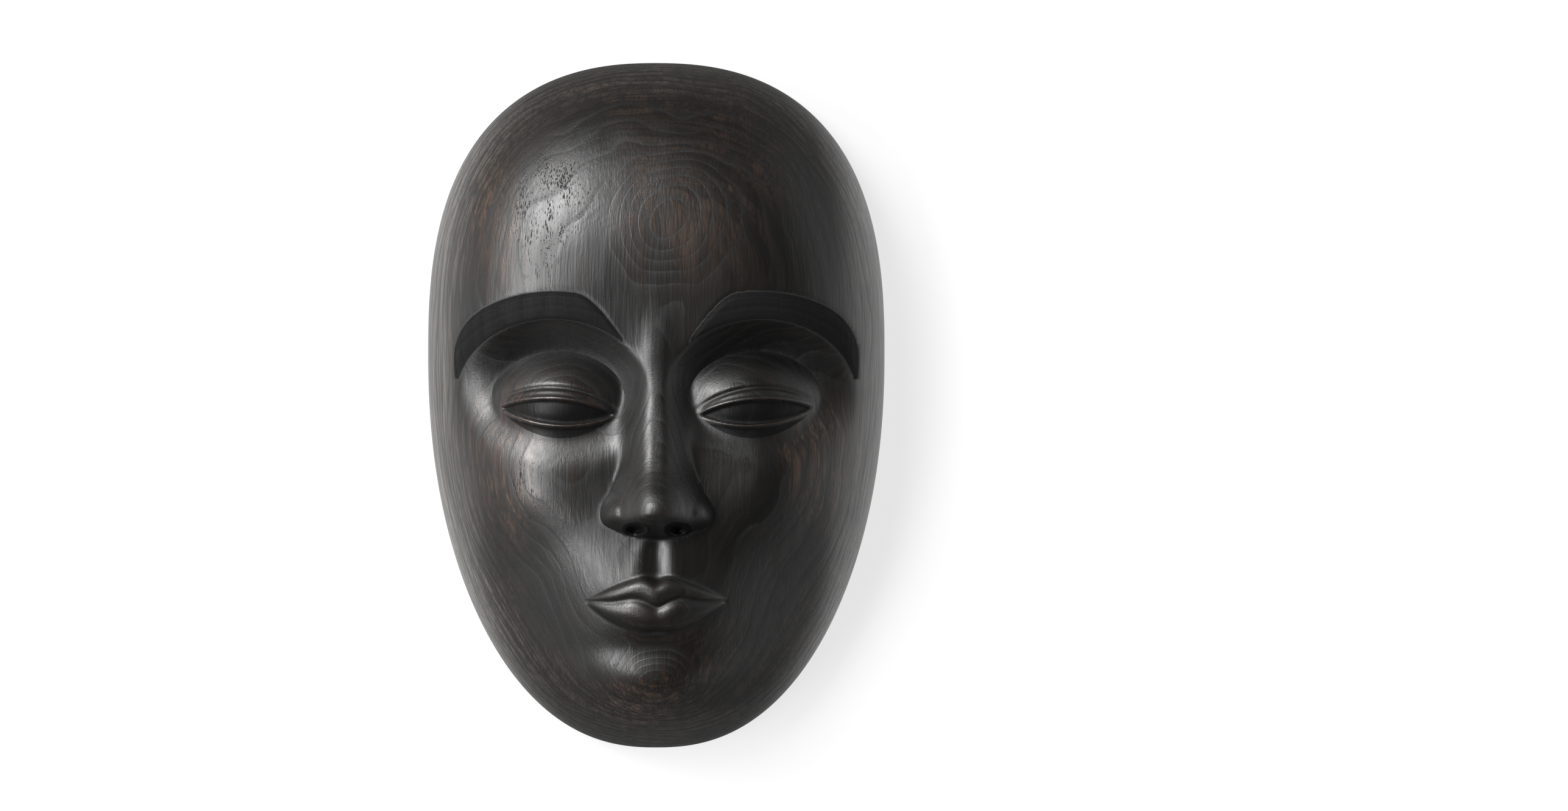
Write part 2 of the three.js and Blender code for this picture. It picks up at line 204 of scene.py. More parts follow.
# Places where the layers bulge and show as closed rings
KNOTS = [
    Sizes(x=6.0, y=80.0, half_width=34.0, half_height=40.0, height=24.0),
    Sizes(x=-2.0, y=-121.0, half_width=28.0, half_height=23.0, height=25.0),
]

# Where a knot's lines grow clear and where a patch of wood fades in, as shares of its oval
KNOT_EDGE = Sizes(gone=1.3, full=0.9)
PATCH_EDGE = Sizes(gone=1.5, full=0.75, ragged=0.9)

# Places where warm brown heartwood shows through the black
HEARTWOOD = [
    Sizes(x=6.0, y=80.0, half_width=34.0, half_height=42.0, strength=0.5),
    Sizes(x=-2.0, y=-122.0, half_width=30.0, half_height=24.0, strength=0.75),
    Sizes(x=-64.0, y=-24.0, half_width=24.0, half_height=42.0, strength=1.0),
    Sizes(x=72.0, y=-22.0, half_width=22.0, half_height=40.0, strength=0.9),
    Sizes(x=-70.0, y=76.0, half_width=17.0, half_height=40.0, strength=0.9),
]

# Fainter clouds of brown elsewhere, and the stripes that it shows in, from noise between 0 and 1
CLOUD = Sizes(gone=0.46, full=0.74, strength=0.4)
STRIPE = Sizes(gone=0.4, full=0.6, least=0.2)

# Swarms of open pores; elsewhere most pores are filled with wax
SWARMS = [
    Sizes(x=-44.0, y=84.0, half_width=24.0, half_height=40.0, strength=1.0),
    Sizes(x=-53.0, y=-38.0, half_width=12.0, half_height=22.0, strength=0.8),
    Sizes(x=-15.0, y=-113.0, half_width=11.0, half_height=10.0, strength=0.7),
]

# Drying checks: cells to a millimetre, and the half width of the crack between two, as a share of a cell
CHECKS = Sizes(cells=(0.10, 0.045, 0.001), gone=0.016, full=0.006)

# Knife arcs on the brows: how many to a millimetre, how far the grain bends them in mm, and their edges
ARC = Sizes(per_mm=0.7, bend=3.0, gone=0.6, full=0.4)

# Where ridges are worn lighter, partly a painted highlight, and creases stay dull and darker, partly dust
# and partly painted shade, from the curvature in 1/mm over a least area in mm2
CREST = Sizes(gain=0.9, start=0.15)
CREASE = Sizes(gain=2.5, start=0.1)
LEAST_AREA = 0.2

# Where the knife worked closely, by the depth carved and the share of the outline
WORKED = Sizes(least=0.4, full=3.0, gone_share=0.9, full_share=0.8)

# Deep places darkened, painted shade in the recesses and the dark patina of places that no hand polished,
# by the depth under the broad forms
DEEP = Sizes(least=2.0, full=9.0)

# Dry patch beside the groove over the lip, where hairline checks opened
DRY = Sizes(left=-36.0, full_left=-30.0, full_right=-9.0, right=-5.0,
            top=-54.0, full_top=-58.0, full_low=-71.0, low=-76.0)

# Sides of the mask tinted paler, a painted reflection of the pale room, by the share of the outline and the
# distance from its middle
FLANK = Sizes(start_share=0.80, full_share=0.95, at_ends=0.3, start_x=40.0, full_x=80.0)

# Hand work: slow unevenness of the polished surface
UNEVEN = Sizes(waves=26, shortest=9.0, longest=45.0, height=0.10, along=0.7)

# How grid points are slid onto a line: steps, the nudge in mm that finds the slope, and limits on both
FIT = Sizes(steps=4, nudge=0.02, least_slope=0.2, longest=0.4)

# Grid lines across and along the face, and where they crowd together
FACE_GRID = Sizes(across=244, along=344)
HOLLOW_GRID = Sizes(across=84, along=118)
CROWD_ACROSS = [Sizes(at=-0.36, width=0.14, strength=1.0), Sizes(at=0.0, width=0.18, strength=1.6),
                Sizes(at=0.36, width=0.14, strength=1.0)]
CROWD_ALONG = [Sizes(at=-0.525, width=0.07, strength=2.2), Sizes(at=-0.37, width=0.05, strength=1.8),
               Sizes(at=-0.14, width=0.06, strength=3.0), Sizes(at=0.08, width=0.07, strength=1.6)]

# Photograph: frame and the mask's place in it, in pixels
FRAME_WIDTH = 2576
MASK_CENTRE_PX = 1079
MASK_WIDTH_PX = 747
LENS = 85.0
SENSOR = 36.0

# Light: two softboxes and a pale room
SOFTBOXES = [
    Sizes(name="key", direction=(-0.56, 0.46, 0.74), distance=5.0, width=2.2, height=2.6, power=315),
    Sizes(name="strip", direction=(-0.66, -0.16, 0.73), distance=5.0, width=3.0, height=1.3, power=155),
]
FLOOR = Sizes(width=12.0, grey=0.23, glow=0.76, rough=0.8, gap=0.0002, dim_from=0.09, dim_to=0.16,
              dimmed=0.85)
ROOM = Sizes(sides=0.6, ends=0.03, side_from=0.3, side_full=0.9, overhead=0.03, low=0.15, high=0.75)


# Soft forms of the greater and of the lesser of two heights, rounded over about r
def fuse(a, b, r):
    return 0.5 * (a + b + np.hypot(a - b, r))


def cut(a, b, r):
    return 0.5 * (a + b - np.hypot(a - b, r))


def ease(start, end, v):
    t = np.clip((v - start) / (end - start), 0, 1)
    return t * t * (3 - 2 * t)


def bell(v):
    return np.exp(-v * v)


def swell(x, y, form):
    def rise(side):
        return np.exp(-0.5 * (((x - side) / form.reach_x) ** 2 + ((y - form.y) / form.reach_y) ** 2))

    both = rise(form.x) + rise(-form.x) if form.x else rise(0.0)
    return form.height * both


# The outline is an oval whose widest place is above the middle
ABOVE = HALF_HEIGHT - WIDEST_Y
BELOW = HALF_HEIGHT + WIDEST_Y
SKEW = (ABOVE - BELOW) / (ABOVE + BELOW)
REACH = ABOVE * (1 - SKEW)


def oval_size(across, along):
    return (np.abs(across) ** OUTLINE_POWER + np.abs(along) ** OUTLINE_POWER) ** (1 / OUTLINE_POWER)


def outline_share(x, y):
    return oval_size(x / HALF_WIDTH, (y - WIDEST_Y) / (REACH + SKEW * (y - WIDEST_Y)))


def dome_height(share):
    return CROWN * (1 - np.clip(share, 0, 1) ** FRONT_POWER) ** (1 / SIDE_POWER)


def broad_forms(x, y):
    return dome_height(outline_share(x, y)) + sum(swell(x, y, form) for form in SWELLS)


def brow_band(x, y):
    """How far out of the socket's edge a place is, and the width of the brow band there."""
    across = (np.abs(x) - SOCKET.x) / SOCKET.half_width
    along = (y - SOCKET.y) / SOCKET.half_height
    out = np.hypot(across, along)
    upward = along / np.maximum(out, 0.01)
    inner_end = ease(BROW_INNER_END.x, BROW_INNER_END.full_x, np.abs(x))
    return out, BROW.width * ease(BROW.start, BROW.full, upward) * inner_end


def with_socket(x, y, z):
    out, band = brow_band(x, y)
    on_brow = ease(BROW.thin, BROW.thick, band)
    beyond = (out - 1 - band) * SOCKET.half_height
    raised = BROW.height * ease(0, BROW.rise, out - 1) * ease(BROW.fall_to, BROW.fall_from, beyond)
    long_enough = ease(BROW_LINE.thin, BROW_LINE.thick, band)
    line = BROW_LINE.depth * bell((beyond - BROW_LINE.out) / BROW_LINE.width) * long_enough
    upper = ease(SOCKET_SLOPE.cheek_y, SOCKET_SLOPE.brow_y, y)
    temple = SOCKET_SLOPE.temple_loss * ease(SOCKET_SLOPE.inner_x, SOCKET_SLOPE.temple_x, np.abs(x))
    deep = SOCKET.depth * upper * (1 - temple) + SOCKET_SLOPE.low_depth
    return cut(z + on_brow * (raised - line), z - deep * (1 - out ** SOCKET.power), SOCKET.edge)


def eye_lines(x, y):
    """Share of the slit's half length, its middle height, and how far a place is past its two edges."""
    u = (np.abs(x) - LID.x) / SLIT.half_width
    opened = np.maximum(1 - u * u, 0)
    middle = EYE_Y - SLIT.down + SLIT.tilt * u
    over = y - middle - SLIT.rise * opened ** SLIT.rise_power
    under = middle - SLIT.drop * opened ** SLIT.drop_power - y
    return u, middle, over, under


def eyelid(x, y, base):
    """Height of the eyelid's dome, and how far from its middle a place is."""
    bulge = ((np.abs(x) - LID.x) / LID.half_width) ** 2 + ((y - EYE_Y - LID.up) / LID.half_height) ** 2
    return base + LID.edge + LID.height * (1 - np.minimum(bulge, 3)), bulge


def brow_depth(x, y):
    """How far inside the stained band of the brow a place is, about in mm."""
    out, band = brow_band(x, y)
    inner = (out - 1) * SOCKET.half_height - STAIN.inner_gap
    outer = (1 + band - out) * SOCKET.half_height + STAIN.over_edge
    return np.minimum(np.minimum(inner, outer), band * SOCKET.half_height - STAIN.narrowest)


def opening_depth(x, y):
    """How far inside the eye's slit, the stained crescent under it or a nostril a place is, in mm."""
    u, _, over, under = eye_lines(x, y)
    ball = np.minimum(-np.maximum(over, under), SLIT.half_width * (1 - np.abs(u))) - STAIN.slit_gap
    below = under - CRESCENT.gap
    crescent = np.minimum(below, CRESCENT.width * (1 - u * u) - CRESCENT.narrowest - below)
    # Inside a nostril the stain is partly painted shade in the hole
    hole = (STAIN.nostril - np.sqrt(nostril_oval(x, y))) * NOSTRIL.half_height
    return np.maximum(np.maximum(ball, crescent), hole)


def stain_depth(x, y):
    return np.maximum(brow_depth(x, y), opening_depth(x, y))


def with_eye(x, y, z, base):
    u, middle, over, under = eye_lines(x, y)
    end = np.abs(u)
    lid, bulge = eyelid(x, y, base)
    lower = ease(LID_BLEND.upper_y, LID_BLEND.lower_y, y)
    height = fuse(z, lid, LID_BLEND.upper + (LID_BLEND.lower - LID_BLEND.upper) * lower)
    near = ease(LID_LINE.gone, LID_LINE.full, end)
    height = height + near * LID_LINE.upper * bell((over - LID_LINE.away) / LID_LINE.width)
    height = height + near * LID_LINE.lower * bell((under - LID_LINE.away) / LID_LINE.width)

    fold = middle + FOLD.rise * np.maximum(1 - (u / FOLD.reach) ** 2, 0) ** FOLD.power
    height = height - ease(FOLD.reach, FOLD.full, end) * FOLD.depth * bell((y - fold) / FOLD.width)

    ball = base + LID.edge - SLIT_FLOOR.depth + LID.height * (1 - np.minimum(bulge, 1))
    ball = ball - SLIT_FLOOR.crown * np.minimum((y - middle) ** 2, SLIT_FLOOR.crown_reach ** 2)
    outside = fuse(fuse(over, under, SLIT_FLOOR.corner), SLIT.half_width * (end - 1), SLIT_FLOOR.corner)
    return cut(height, ball + SLIT_FLOOR.wall * fuse(outside, 0, SLIT_FLOOR.foot), SLIT_FLOOR.edge)


def nostril_oval(x, y):
    across = (np.abs(x) - NOSTRIL.x) / NOSTRIL.half_width
    return across ** 2 + ((y - NOSTRIL.y) / NOSTRIL.half_height) ** 2


def nose_height(x, y, base):
    side = np.abs(x)
    way = fuse((RIDGE.top_y - y) / (RIDGE.top_y - NOSE_TIP_Y), 0, RIDGE.soft)
    down = np.clip(way, 0, RIDGE.longest)
    widening = ease(RIDGE_SIDE.flat_from, 1, down)
    steepening = ease(RIDGE_SIDE.slope_from, 1, down)
    flat = RIDGE_SIDE.flat + (RIDGE_SIDE.tip_flat - RIDGE_SIDE.flat) * widening
    slope = RIDGE_SIDE.slope + (RIDGE_SIDE.tip_slope - RIDGE_SIDE.slope) * steepening
    fall = slope * (np.cbrt(side ** 3 + flat ** 3) - flat)
    end = RIDGE_END.fall * ease(RIDGE_END.from_y, RIDGE_END.to_y, y)
    ridge = base + RIDGE.start + RIDGE.height * down ** RIDGE.power - fall - end

    tip = base + TIP.height - TIP.across * x * x - TIP.along * (y - NOSE_TIP_Y + TIP.up) ** 2
    away = ((side - WING.x) / WING.half_width) ** 2 + ((y - WING.y) / WING.half_height) ** 2
    wing = base + WING.height * (1 - np.minimum(away, 3) ** WING.power)
    solid = fuse(fuse(ridge, tip, TIP.blend), wing, WING.blend)

    edge = NOSE_BASE_Y + UNDERSIDE.lift * (side / UNDERSIDE.reach) ** 2
    underside = base + UNDERSIDE.start + UNDERSIDE.slope * (y - edge)
    nostril = underside - NOSTRIL.depth * (1 - np.minimum(nostril_oval(x, y), 3))
    return cut(cut(solid, underside, UNDERSIDE.blend), nostril, NOSTRIL.blend)


def with_nose(x, y, z, base):
    root = ease(NOSE_FOOT.low_y, NOSE_FOOT.root_y, y) * ease(NOSE_FOOT.gone_y, NOSE_FOOT.fade_y, y)
    blend = NOSE_FOOT.blend + (NOSE_FOOT.root_blend - NOSE_FOOT.blend) * root
    return fuse(z, nose_height(x, y, base), blend)


def lid_rise(x, y):
    """How far the eyelid's dome stands over the floor of the socket, in mm."""
    base = broad_forms(x, y)
    return eyelid(x, y, base)[0] - with_socket(x, y, base)


def nose_rise(x, y):
    """How far the nose stands over the face beside it, in mm."""
    base = broad_forms(x, y)
    return nose_height(x, y, base) - with_eye(x, y, with_socket(x, y, base), base)


def with_groove(x, y, z):
    down = (GROOVE.top - y) / (GROOVE.top - GROOVE.bottom)
    share = np.clip(down, 0, 1)
    run = ease(GROOVE.start, GROOVE.full, down) * ease(GROOVE.gone, GROOVE.fade, down)
    width = GROOVE.half_width + GROOVE.flare * share
    bank = BANK.height * bell((np.abs(x) - BANK.x - BANK.out * share) / width)
    return z + run * (bank - GROOVE.depth * bell(x / width))


def with_mouth(x, y, z):
    u = np.abs(x) / LIPS.half_width
    inside = np.maximum(1 - u * u, 0)
    beyond = LIPS.half_width * np.maximum(u - LIP_BED.corner, 0)
    wave = MIDDLE.wave * bell((u - MIDDLE.wave_at) / MIDDLE.wave_width)
    line = MOUTH_Y - MIDDLE.down + wave - MIDDLE.dip * bell(u / MIDDLE.dip_width)
    notch = NOTCH.depth * bell(u / NOTCH.width)
    rise = np.maximum(1 - u ** LIP_CURVE.upper_power, 0) ** LIP_CURVE.upper_round
    top = MOUTH_Y + LIPS.upper * rise - notch
    low = MOUTH_Y - LIPS.lower * inside ** LIP_CURVE.lower_round + NOTCH.lift * bell(u / NOTCH.lift_width)
    edge = np.minimum(top - y, y - low) - beyond
    bed = z - LIP_BED.slope * np.clip(edge, -30, LIP_BED.deepest)

    def arch(share, lip):
        return 1 - np.minimum(np.abs((share - lip.crest) / lip.half) ** LIP_CURVE.arch, 6)

    full = inside ** LIP_CURVE.fullness
    up_share = (y - line) / np.maximum(top - line, 0.5)
    down_share = (line - y) / np.maximum(line - low, 0.5)
    middle = 1 + UPPER_LIP.swell * bell(u / UPPER_LIP.swell_width)
    upper = z - UPPER_LIP.sink + UPPER_LIP.height * full * middle * arch(up_share, UPPER_LIP)
    dent = LOWER_LIP.dent * full * bell(u / LOWER_LIP.dent_width)
    lower = z - LOWER_LIP.sink + LOWER_LIP.height * full * arch(down_share, LOWER_LIP) - dent
    lips = fuse(upper, lower, LIPS.soft) - LIP_BED.corner_slope * (beyond + np.maximum(-edge - 1, 0))
    return fuse(cut(z, bed, LIP_BED.edge), lips, LIPS.blend)


def unevenness(x, y):
    """Sum of long shallow waves in all directions, as left by rasp and scraper."""
    chance = np.random.default_rng(SEED)
    total = np.zeros_like(x)
    for _ in range(UNEVEN.waves):
        length = UNEVEN.shortest * (UNEVEN.longest / UNEVEN.shortest) ** chance.random()
        angle, phase = 2 * math.pi * chance.random(2)
        run = (x * math.cos(angle) + UNEVEN.along * y * math.sin(angle)) * 2 * math.pi / length
        total += np.sin(run + phase) * length / UNEVEN.longest
    return total * UNEVEN.height / math.sqrt(UNEVEN.waves / 2)


def face_height(x, y):
    """Height of the carved front, with the plain dome left along the edge."""
    share = outline_share(x, y)
    base = broad_forms(x, y)
    eyes = with_eye(x, y, with_socket(x, y, base), base)
    carved = with_mouth(x, y, with_groove(x, y, with_nose(x, y, eyes, base)))
    kept = ease(1, PLAIN_EDGE, share)
    return dome_height(share) * (1 - kept) + (carved + unevenness(x, y)) * kept


def spread(count, peaks):
    """Values from -1 to 1 that stand closer together round each peak."""
    v = np.linspace(-1, 1, 4001)
    density = 1 + sum(p.strength * np.exp(-0.5 * ((v - p.at) / p.width) ** 2) for p in peaks)
    sums = np.concatenate([[0], np.cumsum((density[1:] + density[:-1]) / 2)])
    return np.interp(np.linspace(0, sums[-1], count + 1), sums, v)


def share_along(way):
    """Share of the outline at each share of the way from crown to rim, measured along the surface."""
    mean_radius = 122.0
    share = np.sin(np.linspace(0, math.pi / 2, 2001)) ** (2 / FRONT_POWER)
    steps = np.hypot(np.diff(share * mean_radius), np.diff(dome_height(share)))
    length = np.concatenate([[0], np.cumsum(steps)])
    return np.interp(way, length / length[-1], share)


def field(u, v):
    """Place inside the outline for a square's u and v: the square's border falls on the outline."""
    x = u * np.sqrt(1 - v * v / 2)
    y = v * np.sqrt(1 - u * u / 2)
    on_rim = np.maximum(np.abs(u), np.abs(v)) > 1 - 1e-6
    share = np.where(on_rim, 1.0, share_along(np.hypot(x, y)))
    size = np.maximum(oval_size(x, y), 1e-9)
    level = y * share / size
    return HALF_WIDTH * x * share / size, WIDEST_Y + REACH * level / (1 - SKEW * level), share


def front_places(u, v):
    x, y, share = field(u, v)
    z = np.where(share == 1.0, 0.0, face_height(x, y))
    return np.stack([x, y, z], -1)


def fit_to_line(points, table, depth, low_y=-HALF_HEIGHT, high_y=HALF_HEIGHT):
    """Slides the points beside the line of depth 0 onto it; returns the faces inside and those points."""
    x, y = points[table, 0], points[table, 1]
    middle_x = (x[1:, 1:] + x[1:, :-1] + x[:-1, 1:] + x[:-1, :-1]) / 4
    middle_y = (y[1:, 1:] + y[1:, :-1] + y[:-1, 1:] + y[:-1, :-1]) / 4
    inside = depth(middle_x, middle_y) > 0
    around = np.pad(inside, 1).astype(int)
    touching = around[1:, 1:] + around[1:, :-1] + around[:-1, 1:] + around[:-1, :-1]
    edge = (touching > 0) & (touching < 4) & (y > low_y) & (y < high_y)
    ex, ey = x[edge], y[edge]
    for _ in range(FIT.steps):
        level = depth(ex, ey)
        slope_x = (depth(ex + FIT.nudge, ey) - level) / FIT.nudge
        slope_y = (depth(ex, ey + FIT.nudge) - level) / FIT.nudge
        step = level / np.maximum(slope_x ** 2 + slope_y ** 2, FIT.least_slope)
        step = np.clip(step, -FIT.longest, FIT.longest)
        ex, ey = ex - step * slope_x, ey - step * slope_y
    points[table[edge]] = np.stack([ex, ey, face_height(ex, ey)], -1)
    return inside, edge


def mark_sharp(piece, table, inside, edge):
    """Makes the grid's edges along a line sharp, so that light doesn't round the cut."""
    across = (inside[:, 1:] != inside[:, :-1]) & edge[:-1, 1:-1] & edge[1:, 1:-1]
    along = (inside[1:] != inside[:-1]) & edge[1:-1, :-1] & edge[1:-1, 1:]
    starts = np.concatenate([table[:-1, 1:-1][across], table[1:-1, :-1][along]])
    ends = np.concatenate([table[1:, 1:-1][across], table[1:-1, 1:][along]])
    count = len(piece.data.vertices)
    wanted = np.minimum(starts, ends) * count + np.maximum(starts, ends)
    pairs = np.empty(len(piece.data.edges) * 2, np.int32)
    piece.data.edges.foreach_get("vertices", pairs)
    pairs = np.sort(pairs.reshape(-1, 2).astype(np.int64), axis=1)
    sharp = np.empty(len(pairs), bool)
    piece.data.edges.foreach_get("use_edge_sharp", sharp)
    sharp |= np.isin(pairs[:, 0] * count + pairs[:, 1], wanted)
    piece.data.edges.foreach_set("use_edge_sharp", sharp)


def gouge_cuts(x, y):
    """Depth of overlapping scoops, one round each point of a shaken grid, as a gouge leaves them."""
    chance = np.random.default_rng(SEED + 1)
    centres = []
    for i, cx in enumerate(np.arange(-GOUGE.across, GOUGE.across + 1, GOUGE.step_x)):
        for cy in np.arange(-GOUGE.along, GOUGE.along + 1, GOUGE.step_y):
            shake = (chance.random(2) - 0.5) * (GOUGE.step_x, GOUGE.step_y) * GOUGE.shake
            centres.append((cx + shake[0], cy + shake[1] + (i % 2) * GOUGE.step_y / 2, chance.random()))
    deepest = np.zeros_like(x)
    for cx, cy, strength in centres:
        away = ((x - cx) / GOUGE.half_width) ** 2 + ((y - cy) / GOUGE.half_length) ** 2
        depth = GOUGE.depth * (GOUGE.shallow + (1 - GOUGE.shallow) * strength)
        deepest = np.maximum(deepest, depth * (1 - away))
    return deepest


def hollow_places(u, v):
    x, y, share = field(u, v)
    scale = 1 - SIDE_RIM / HALF_WIDTH
    x, y = x * scale, y * scale
    nose = ease(1, HOLLOW_NOSE_FULL, share) * swell(x, y, HOLLOW_NOSE)
    smooth = HOLLOW_HEIGHT / CROWN * dome_height(share) + nose
    cuts = (gouge_cuts(x, y) - GOUGE.depth / 2) * ease(1, GOUGE.rim_share, share)
    return np.stack([x, y, smooth + cuts], -1)


def select_only(piece):
    bpy.ops.object.select_all(action="DESELECT")
    piece.select_set(True)
    bpy.context.view_layer.objects.active = piece


def store(piece, name, values):
    """Keeps one value for each vertex, for the materials to read."""
    attribute = piece.data.attributes.new(name, "FLOAT", "POINT")
    attribute.data.foreach_set("value", np.asarray(values, np.float32).ravel())


def carve_sheet(name, grid, places):
    """A flat grid with its points moved; returns it, its points, and their numbers in rows and columns."""
    bpy.ops.object.select_all(action="DESELECT")
    bpy.ops.mesh.primitive_grid_add(x_subdivisions=grid.across, y_subdivisions=grid.along, size=2)
    piece = bpy.context.object
    piece.name = name
    flat = np.empty(len(piece.data.vertices) * 3)
    piece.data.vertices.foreach_get("co", flat)
    flat = flat.reshape(-1, 3)
    column = np.rint((flat[:, 0] + 1) / 2 * grid.across).astype(int)
    row = np.rint((flat[:, 1] + 1) / 2 * grid.along).astype(int)
    u = spread(grid.across, CROWD_ACROSS)[column]
    v = spread(grid.along, CROWD_ALONG)[row]
    points = places(u, v)
    place_points(piece, points)
    table = np.empty((grid.along + 1, grid.across + 1), int)
    table[row, column] = np.arange(len(points))
    return piece, points, table


def place_points(piece, points):
    piece.data.vertices.foreach_set("co", (points * MM).ravel())
    piece.data.update()


def roundness(points, table, reach):
    """Curvature at each point in 1/mm, taken over a number of grid steps; above 0 on a crest."""
    rows = points[table]
    slope_v = np.gradient(rows, axis=0)
    slope_u = np.gradient(rows, axis=1)
    out = np.cross(slope_u, slope_v)
    out /= np.maximum(np.linalg.norm(out, axis=-1, keepdims=True), 1e-9)
    padded = np.pad(rows, ((reach, reach), (reach, reach), (0, 0)), mode="edge")
    height, width = rows.shape[:2]
    around = np.zeros_like(rows)
    for dv, du in ((-reach, 0), (reach, 0), (0, -reach), (0, reach)):
        around += padded[reach + dv:reach + dv + height, reach + du:reach + du + width]
    offset = rows - around / 4
    area = reach ** 2 * ((slope_u ** 2).sum(-1) + (slope_v ** 2).sum(-1)) / 2
    values = np.empty(len(points))
    values[table] = 4 * (offset * out).sum(-1) / np.maximum(area, LEAST_AREA)
    return values


def share_of(values, marked):
    return np.clip(values * marked.gain - marked.start, 0, 1)


def surface_places(points):
    """For each point of the front, how far it belongs to each kind of place that the materials know."""
    x, y, z = points.T
    broad = broad_forms(x, y)
    share = outline_share(x, y)
    out, _ = brow_band(x, y)
    dry_across = ease(DRY.left, DRY.full_left, x) * ease(DRY.right, DRY.full_right, x)
    dry_along = ease(DRY.top, DRY.full_top, y) * ease(DRY.low, DRY.full_low, y)
    side = FLANK.at_ends + (1 - FLANK.at_ends) * ease(FLANK.start_x, FLANK.full_x, np.abs(x))
    inward = ease(WORKED.gone_share, WORKED.full_share, share)
    return {
        "worked": ease(WORKED.least, WORKED.full, np.abs(z - broad)) * inward,
        "brow": ease(STAIN.brow_fade, STAIN.full, brow_depth(x, y)),
        "sweep": (out - 1) * SOCKET.half_height,
        "opening": ease(STAIN.opening_fade, STAIN.full, opening_depth(x, y)),
        # Recesses that take painted shade and their dark patina
        "deep": ease(DEEP.least, DEEP.full, broad - z),
        "dry": dry_across * dry_along,
        # Sides that take the painted reflection of the pale room
        "flank": ease(FLANK.start_share, FLANK.full_share, share) * side,
    }


def build_mask():
    front, points, table = carve_sheet("mask_carved", FACE_GRID, front_places)
    stained, _ = fit_to_line(points, table, stain_depth)
    for rise, knife in ((lid_rise, LID_CUT), (nose_rise, NOSE_CUT)):
        inside, edge = fit_to_line(points, table, rise, knife.low_y, knife.high_y)
        mark_sharp(front, table, inside, edge)
    place_points(front, points)
    bulge = roundness(points, table, 2)
    store(front, "crest", share_of(bulge, CREST))
    store(front, "crease", share_of(-bulge, CREASE))
    places = surface_places(points)
    for name, values in places.items():
        store(front, name, values)

    hollow, inner_points, inner_table = carve_sheet("hollow", HOLLOW_GRID, hollow_places)
    inner_bulge = roundness(inner_points, inner_table, 1)
    store(hollow, "crest", share_of(-inner_bulge, CREST))
    store(hollow, "crease", share_of(inner_bulge, CREASE))
    for name in places:
        store(hollow, name, np.zeros(len(inner_points)))
    select_only(hollow)
    bpy.ops.object.mode_set(mode="EDIT")
    bpy.ops.mesh.select_all(action="SELECT")
    bpy.ops.mesh.flip_normals()
    bpy.ops.object.mode_set(mode="OBJECT")

    woods = {
        POLISHED: polished_wood("polished_hardwood", WAX_IOR),
        BARE: raw_wood(),
        STAINED: polished_wood("stained_hardwood", STAIN_IOR),
    }
    for piece in (front, hollow):
        for slot in sorted(woods):
            piece.data.materials.append(woods[slot])
    bare_faces = np.full(len(hollow.data.polygons), BARE, np.int32)
    hollow.data.polygons.foreach_set("material_index", bare_faces)
    for row, column in np.argwhere(stained):
        front.data.polygons[row * FACE_GRID.across + column].material_index = STAINED

    select_only(front)
    hollow.select_set(True)
    bpy.ops.object.join()
    bpy.ops.object.mode_set(mode="EDIT")
    bpy.context.tool_settings.mesh_select_mode = (False, True, False)
    bpy.ops.mesh.select_all(action="DESELECT")
    bpy.ops.mesh.select_non_manifold()
    bpy.ops.mesh.bridge_edge_loops()
    bpy.context.object.active_material_index = BARE
    bpy.ops.object.material_slot_assign()
    bpy.ops.mesh.region_to_loop()
    bpy.ops.mesh.bevel(offset=RIM_ROUNDING * MM, segments=2, affect="EDGES")
    bpy.ops.mesh.select_all(action="SELECT")
    bpy.ops.mesh.normals_make_consistent(inside=False)
    bpy.ops.object.mode_set(mode="OBJECT")
    bpy.ops.object.shade_smooth()

    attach(front, "root")
    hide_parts("mask")


# Materials
def add_node(tree, kind, inputs=None, **settings):
    """Adds a shader node with its settings and inputs, each a value or another node's output."""
    made = tree.nodes.new(kind)
    for name, value in settings.items():
        setattr(made, name, value)
    for name, value in (inputs or {}).items():
        socket = made.inputs[name]
        if isinstance(value, bpy.types.NodeSocket):
            tree.links.new(value, socket)
        else:
            socket.default_value = value
    return made


def scaled(tree, place, scale):
    return add_node(tree, "ShaderNodeMapping", {"Vector": place, "Scale": scale}).outputs["Vector"]


def noise(tree, place, scale, detail=3.0, roughness=0.5, distortion=0.0):
    made = add_node(tree, "ShaderNodeTexNoise", {
        "Vector": place, "Scale": scale, "Detail": detail,
        "Roughness": roughness, "Distortion": distortion})
    return made.outputs["Fac"]


def bands(tree, value, scale):
    """Noise along one value alone, for lines that keep a steady distance."""
    made = add_node(tree, "ShaderNodeTexNoise", {"W": value, "Scale": scale, "Detail": 2.0},
                    noise_dimensions="1D")
    return made.outputs["Fac"]


def wandering(tree, place, scale, reach):
    """The place moved about by slow noise, so that straight grain sways."""
    sway = add_node(tree, "ShaderNodeTexNoise", {
        "Vector": scaled(tree, place, scale), "Scale": 1.0, "Detail": 2.0})
    moved = add_node(tree, "ShaderNodeVectorMath", {
        0: sway.outputs["Color"], 1: reach, 2: place}, operation="MULTIPLY_ADD")
    return moved.outputs["Vector"]


def ramp(tree, value, low, high, start=0.0, end=1.0):
    made = add_node(tree, "ShaderNodeMapRange", {
        "Value": value, "From Min": low, "From Max": high, "To Min": start, "To Max": end},
        interpolation_type="SMOOTHSTEP")
    return made.outputs["Result"]


def maths(tree, operation, a, b=0.0):
    made = add_node(tree, "ShaderNodeMath", {0: a, 1: b}, operation=operation)
    return made.outputs["Value"]


def times(tree, a, b):
    return maths(tree, "MULTIPLY", a, b)


def plus(tree, a, b):
    return maths(tree, "ADD", a, b)


